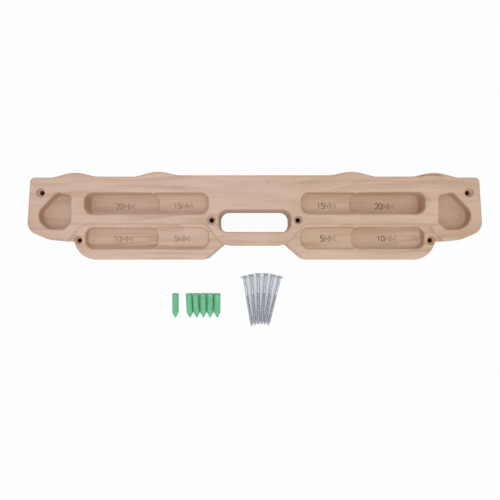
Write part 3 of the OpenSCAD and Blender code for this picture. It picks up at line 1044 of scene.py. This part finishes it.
def recess_cutter():
    """A cross that narrows towards its bottom."""
    bars = []
    for k in range(2):
        verts, faces = [], []
        for z, share in ((-1.0, 1.06), (0.0, 1.0), (RECESS_DEEP, RECESS_NARROW)):
            w, t = RECESS_REACH * share, RECESS_HALF
            if k == 1:
                w, t = t, w
            verts += [(-w, -t, z), (w, -t, z), (w, t, z), (-w, t, z)]
        for s in (0, 4):
            for i in range(4):
                j = (i + 1) % 4
                faces.append((s + i, s + j, s + 4 + j, s + 4 + i))
        faces += [(3, 2, 1, 0), (8, 9, 10, 11)]
        bars.append(mesh_object(f"recess_{k}", [tuple(c * MM for c in v) for v in verts], faces))
    return bars


def taken_mesh(obj, material):
    """The object's mesh in that material alone, once the object is removed."""
    mesh = obj.data
    bpy.data.objects.remove(obj)
    mesh.materials.clear()
    mesh.materials.append(material)
    return mesh


def laid_piece(name, mesh, node, sharp):
    """A copy of the mesh that lies where the node does."""
    piece = bpy.data.objects.new(name, mesh.copy())
    bpy.context.scene.collection.objects.link(piece)
    piece.data.transform(lying_axes(node))
    smooth_faces(piece, sharp)
    return piece


def make_screws(steel):
    screw = screw_mesh()
    bars = recess_cutter()
    combine(screw, bars, "DIFFERENCE")
    settle(screw, bars)
    mesh = taken_mesh(screw, steel)
    for i in range(1, 7):
        piece = laid_piece(f"zinc_screw_{i}", mesh, f"screw_{i}", STEEL_SHARP)
        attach(piece, f"screw_{i}")
        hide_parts(f"screw_{i}")


# Wall plugs, in millimetres from the mouth
PLUG_LEN = 34.5
PLUG_R = 4.65
PLUG_WAIST_R = 4.5
PLUG_BORE_R = 2.2
PLUG_TIP = 7
PLUG_TIP_R = 0.8
PLUG_COLLAR = 4
PLUG_SPLIT = 1
PLUG_FIN = 1.2


def box_solid(name, x, y, z):
    """A closed box between pairs of corners, in millimetres."""
    verts = [(a * MM, b * MM, c * MM) for c in z for b in y for a in x]
    faces = [(0, 2, 3, 1), (4, 5, 7, 6), (0, 1, 5, 4), (2, 6, 7, 3), (0, 4, 6, 2), (1, 3, 7, 5)]
    return mesh_object(name, verts, faces)


def plug_mesh():
    """A wall plug along +Z from its mouth: collar, two legs with two fins on each, a wedge tip."""
    body = PLUG_LEN - PLUG_TIP
    profile = [
        (0, 0),
        (PLUG_R - 0.9, 0),
        (PLUG_R - 0.3, 0.3),
        (PLUG_R, 0.9),
        (PLUG_R, PLUG_COLLAR - 0.3),
        (PLUG_WAIST_R, PLUG_COLLAR + 0.3),
        (PLUG_WAIST_R, body - 1.2),
        (PLUG_WAIST_R - 0.15, body),
        (PLUG_WAIST_R - 0.7, body + 1.0),
        (PLUG_TIP_R + 0.4, PLUG_LEN - 0.9),
        (PLUG_TIP_R, PLUG_LEN - 0.3),
        (PLUG_TIP_R - 0.4, PLUG_LEN),
        (0, PLUG_LEN),
    ]
    plug = lathe("plug", profile, steps=48)
    fins, cuts = [], []
    for k in range(2):
        reach, half = PLUG_R - 0.1, PLUG_FIN / 2
        fin = box_solid(f"fin_{k}", (-reach, reach), (-half, half), (PLUG_COLLAR / 2, body - 0.4))
        fin.rotation_euler = (0, 0, math.radians(45 + 90 * k))
        fins.append(fin)
    bore = [(0, -1), (PLUG_BORE_R + 0.4, -1), (PLUG_BORE_R + 0.4, 0), (PLUG_BORE_R, 0.5)]
    bore += [(PLUG_BORE_R, body - 1.5), (0, body)]
    cuts.append(lathe("bore", bore, steps=40))
    half, far = PLUG_SPLIT / 2, PLUG_R * 2
    cuts.append(box_solid("split", (-far, far), (-half, half), (PLUG_COLLAR, body)))
    bpy.context.view_layer.update()
    combine(plug, fins, "UNION")
    combine(plug, cuts, "DIFFERENCE")
    settle(plug, fins + cuts)
    return plug


def make_plugs(nylon):
    mesh = taken_mesh(plug_mesh(), nylon)
    for i in range(1, 7):
        piece = laid_piece(f"nylon_plug_{i}", mesh, f"plug_{i}", NYLON_SHARP)
        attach(piece, f"plug_{i}")
        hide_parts(f"plug_{i}")


# Stage, light and camera


def seen_directly(nodes, links):
    """1 for rays that show the background: from the camera, off gloss and through glass."""
    path = nodes.new("ShaderNodeLightPath")
    total = path.outputs["Is Camera Ray"]
    for name in ("Is Glossy Ray", "Is Transmission Ray"):
        add = nodes.new("ShaderNodeMath")
        add.operation = "MAXIMUM"
        links.new(total, add.inputs[0])
        links.new(path.outputs[name], add.inputs[1])
        total = add.outputs[0]
    return total


# The floor lies a little below the pieces, and reaches this far, in metres
FLOOR_Z = -0.0002
FLOOR_HALF = 4.0

# How much of the floor's own shading is hidden, in general and between the screws
FLOOR_BRIGHT = 0.95
FLOOR_BRIGHT_UNDER = 0.10

# Ground between small parts: (y, middle x, half width) at its far and at its near end, in mm
SCREW_FAN = ((-146.0, 7.8, 11.0), (-76.0, 10.9, 25.9))
PLUG_ROW = ((-129.0, -71.6, 19.0), (-101.2, -73.2, 19.6))

# Ground counts as crowded where parts this near, in metres, hide more than a fifth of the sky
CROWD_REACH = 0.02
CROWD_EDGE = (0.80, 0.96)

# Edge of the shaded ground below each screw hole, in metres from the hole's axis
HOLE_GROUND = (0.007, 0.010)


def under(g, place, ground):
    """1 on the ground between small parts, falling to 0 at their outer sides."""
    (y0, x0, w0), (y1, x1, w1) = ground
    x, y, _ = g.axes(place)
    along = g.math("DIVIDE", g.math("SUBTRACT", y, y0 * MM), (y1 - y0) * MM)
    middle = g.math("ADD", g.product(along, (x1 - x0) * MM), x0 * MM)
    half = g.math("ADD", g.product(along, (w1 - w0) * MM), w0 * MM)
    past = g.math("SUBTRACT", g.math("ABSOLUTE", g.math("SUBTRACT", x, middle)), half)
    across = g.between(past, -0.0004, 0.0006, 1.0, 0.0)
    far = g.between(along, -0.02, 0.02)
    near = g.between(along, 0.99, 1.01, 1.0, 0.0)
    return g.product(across, g.product(far, near))


def floor_brightness(g):
    """How much of the floor's own shading is hidden at each place."""
    place = g.place()
    sky = g.node("ShaderNodeAmbientOcclusion", {"samples": 8}, Distance=CROWD_REACH).outputs["AO"]
    crowded = g.between(sky, *CROWD_EDGE, 1.0, 0.0)
    screws = g.product(under(g, place, SCREW_FAN), crowded)
    plugs = g.product(under(g, place, PLUG_ROW), crowded)
    bright = g.between(screws, 0.0, 1.0, FLOOR_BRIGHT, FLOOR_BRIGHT_UNDER)
    bright = g.product(bright, g.math("SUBTRACT", 1.0, plugs))
    for k in range(len(HOLES)):
        bright = g.product(bright, g.between(hole_distance(g, place, k), *HOLE_GROUND))
    return bright


def make_floor():
    """A white floor that shows a little of the object's shadow."""
    half = FLOOR_HALF
    corners = ((-half, -half), (half, -half), (half, half), (-half, half))
    floor = mesh_object("floor", [(x, y, FLOOR_Z) for x, y in corners], [(0, 1, 2, 3)])
    g = Graph("white_floor")
    nodes, links = g.tree.nodes, g.tree.links
    nodes.remove(g.shader)
    matt = g.node("ShaderNodeBsdfDiffuse", Color=(0.83, 0.85, 0.88, 1.0))
    white = g.node("ShaderNodeEmission", Color=(1.0, 1.0, 1.0, 1.0), Strength=1.0)
    share = g.product(seen_directly(nodes, links), floor_brightness(g))
    blend = nodes.new("ShaderNodeMixShader")
    links.new(share, blend.inputs[0])
    links.new(matt.outputs[0], blend.inputs[1])
    links.new(white.outputs[0], blend.inputs[2])
    links.new(blend.outputs[0], g.output.inputs["Surface"])
    floor.data.materials.append(g.material)


# Light from all round, and the lamps: name, place, width, height in metres, power in watts
SKY_LIGHT = 0.62
LAMPS = (
    ("key", (0.0, -1.1, 1.5), 1.6, 0.8, 8.0),
    ("fill", (0.1, 0.5, 1.7), 1.6, 1.2, 6.0),
)


def make_world():
    """Even light, in front of a background that is plain white to the camera."""
    world = bpy.data.worlds.new("studio")
    bpy.context.scene.world = world
    world.use_nodes = True
    nodes, links = world.node_tree.nodes, world.node_tree.links
    background = nodes["Background"]
    background.inputs["Color"].default_value = (1.0, 1.0, 1.0, 1.0)
    strength = nodes.new("ShaderNodeMapRange")
    links.new(seen_directly(nodes, links), strength.inputs["Value"])
    strength.inputs["To Min"].default_value = SKY_LIGHT
    strength.inputs["To Max"].default_value = 1.0
    links.new(strength.outputs[0], background.inputs["Strength"])


def make_lamp(name, place, width, height, power):
    """A rectangular lamp that shines on the middle of the board."""
    data = bpy.data.lights.new(name, "AREA")
    data.shape = "RECTANGLE"
    data.size = width
    data.size_y = height
    data.energy = power
    lamp = bpy.data.objects.new(name, data)
    bpy.context.scene.collection.objects.link(lamp)
    lamp.location = place
    lamp.rotation_euler = (-Vector(place)).to_track_quat("-Z", "Y").to_euler()


def make_camera():
    data = bpy.data.cameras.new("camera")
    data.sensor_width = 36.0
    data.lens = CAMERA_LENS
    data.clip_start = 0.01
    data.clip_end = 50.0
    camera = bpy.data.objects.new("camera", data)
    bpy.context.scene.collection.objects.link(camera)
    camera.location = (CAMERA_X * MM, CAMERA_Y * MM, CAMERA_Z * MM)
    bpy.context.scene.camera = camera


make_board(wood_material(), burnt_material())
make_screws(steel_material())
make_plugs(nylon_material())
make_floor()
make_world()
for lamp in LAMPS:
    make_lamp(*lamp)
make_camera()

bpy.context.scene.view_settings.view_transform = "Standard"
